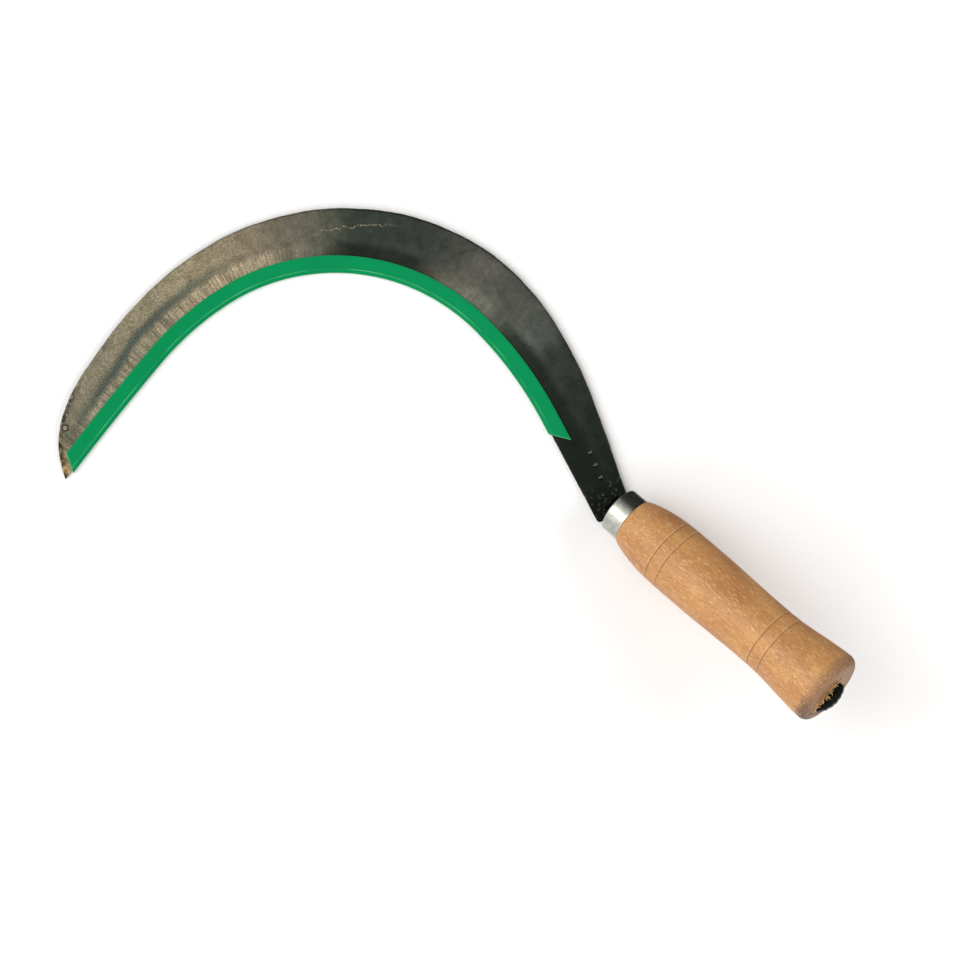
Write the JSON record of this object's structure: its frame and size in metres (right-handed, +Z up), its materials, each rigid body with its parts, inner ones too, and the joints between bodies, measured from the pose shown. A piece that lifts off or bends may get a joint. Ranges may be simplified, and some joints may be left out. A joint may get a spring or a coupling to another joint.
{
  "type": "hand sickle",
  "caption": "Forged hand sickle with a cranked crescent blade, a steel ferrule, a turned wooden handle, a clenched tang and a slip-on plastic edge guard.",
  "frame": {"origin": "on the plane of the blade's flat underside, straight below the middle of the ferrule's mouth", "axes": "+Z up out of the blade's underside, the side to which the handle is cranked; +Y forward from the handle to the crown of the hook; +X to the outside of the hook; the cutting edge faces -X along the heel"},
  "size_m": [0.2251, 0.386, 0.0825],
  "materials": {
    "forged_steel": "forged, ground bevel, dark patina",
    "ferrule_steel": "bright drawn tube, fine scratches",
    "turned_beech": "turned, clear lacquer",
    "green_pvc": "soft satin"
  },
  "bodies": {
    "sickle": {"blade": "forged_steel", "ferrule": "ferrule_steel", "handle": "turned_beech"},
    "guard": {"edge_guard": "green_pvc"}
  },
  "joints": [
    {"name": "guard_slide", "type": "slide", "parent": "sickle", "child": "guard", "axis": [-0.8033, -0.5956, 0], "range_m": [0, 0.14]}
  ]
}
